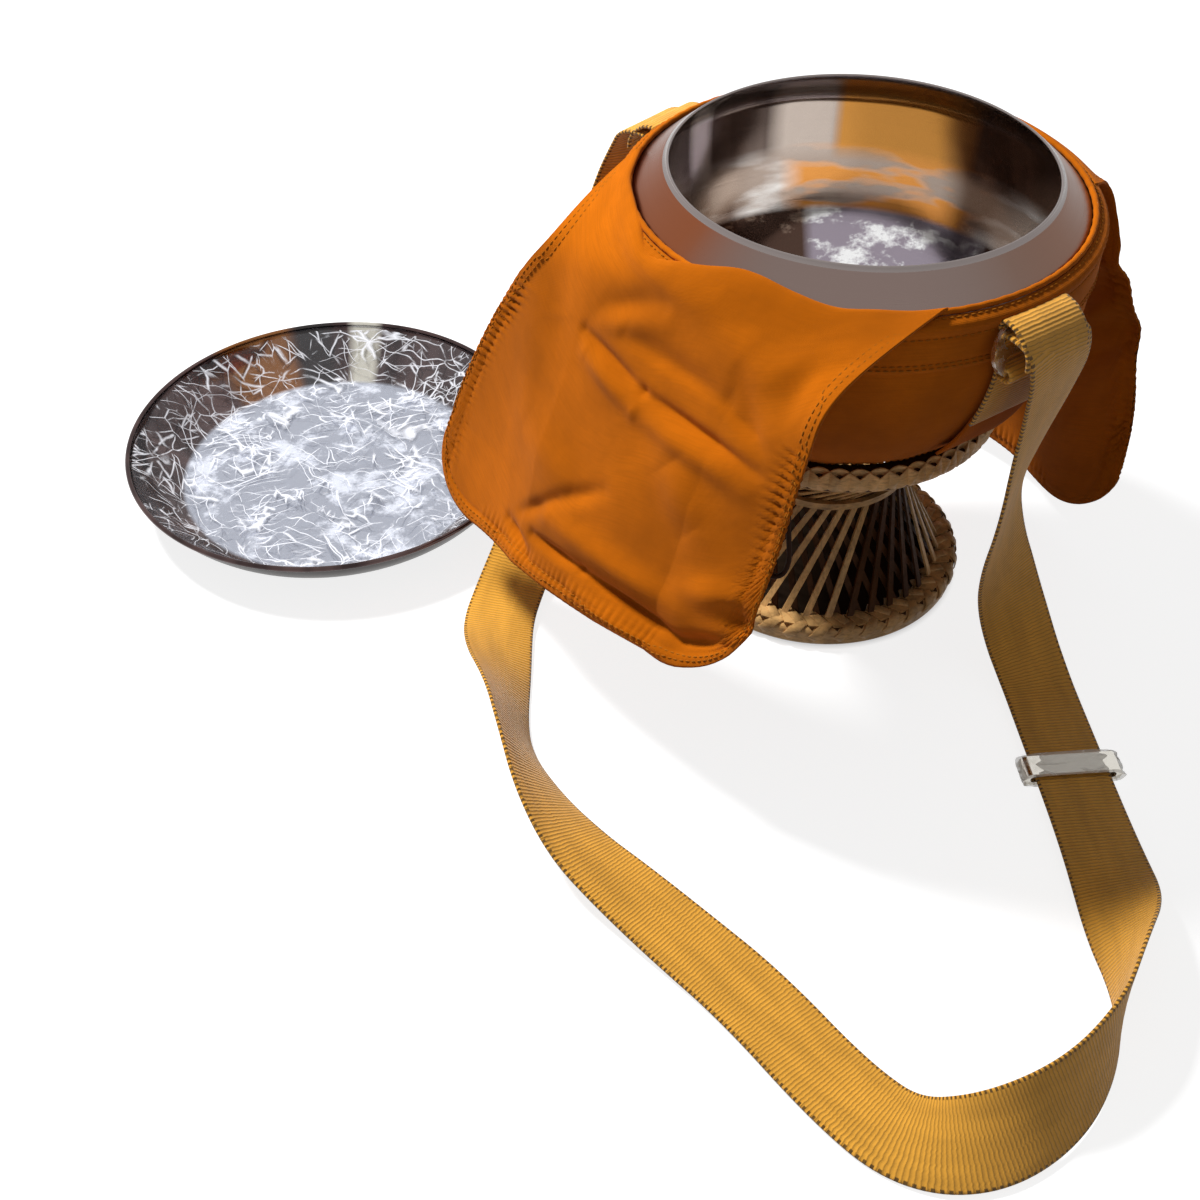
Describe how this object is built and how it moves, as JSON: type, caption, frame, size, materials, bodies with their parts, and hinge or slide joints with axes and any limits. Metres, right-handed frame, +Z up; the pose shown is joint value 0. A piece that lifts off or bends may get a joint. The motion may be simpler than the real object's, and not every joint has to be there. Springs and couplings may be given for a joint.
{
  "type": "alms bowl",
  "caption": "Polished steel alms bowl with a conical collar, in a tan cotton sling with hanging flaps and a webbing strap, on a woven bamboo stand, its lid beside it",
  "frame": {"origin": "centre of the stand's foot ring, on the floor", "axes": "+Z up, +X to the right and +Y away from the viewer of the picture"},
  "size_m": [0.5704, 0.5828, 0.2465],
  "materials": {
    "steel": "polished stainless steel",
    "fittings": "nickel plated wire and plate",
    "cloth": "plain cotton, ochre brown",
    "webbing": "ribbed webbing, golden brown",
    "bamboo_pale": "split bamboo, pale side",
    "bamboo_dark": "split bamboo, smoked brown side"
  },
  "bodies": {
    "stand": {"stand_base_border": "bamboo_pale", "stand_base_core": "bamboo_dark", "stand_base_tabs": "bamboo_pale", "stand_top_border": "bamboo_pale", "stand_top_core": "bamboo_dark", "stand_outer_splints": "bamboo_pale", "stand_inner_splints": "bamboo_dark", "stand_waist_outer_hoop": "bamboo_pale", "stand_waist_inner_hoop": "bamboo_dark"},
    "slung_bowl": {"bowl": "steel", "sling_body": "cloth", "sling_bottom": "cloth", "mouth_casing": "cloth", "mouth_piping": "cloth", "drawcord": "cloth", "drawcord_tail": "cloth", "front_flap_root": "cloth", "back_flap_root": "cloth", "anchor_webbing_right": "webbing", "anchor_webbing_left": "webbing", "buckle_right": "fittings", "buckle_left": "fittings", "shoulder_strap": "webbing"},
    "lid": {"lid": "steel"},
    "front_flap": {"front_flap": "cloth"},
    "back_flap": {"back_flap": "cloth"},
    "slider": {"strap_slider": "fittings"}
  },
  "joints": [
    {"name": "bowl_lift", "type": "slide", "parent": "stand", "child": "slung_bowl", "axis": [0, 0, 1], "range_m": [0, 0.2]},
    {"name": "lid_lift", "type": "slide", "parent": "stand", "child": "lid", "axis": [-0.6, 0.3, 0.7416], "range_m": [0, 0.25]},
    {"name": "front_flap_fold", "type": "hinge", "parent": "slung_bowl", "child": "front_flap", "pos_m": [-0.09307, -0.0781, 0.22], "axis": [-0.6428, 0.766, 0], "range_deg": [0, 168]},
    {"name": "back_flap_fold", "type": "hinge", "parent": "slung_bowl", "child": "back_flap", "pos_m": [0.09307, 0.0781, 0.22], "axis": [0.6428, -0.766, 0], "range_deg": [0, 185]},
    {"name": "strap_slider_slide", "type": "slide", "parent": "slung_bowl", "child": "slider", "axis": [0.0839, -0.9965, 0], "range_m": [-0.02, 0.03]}
  ]
}
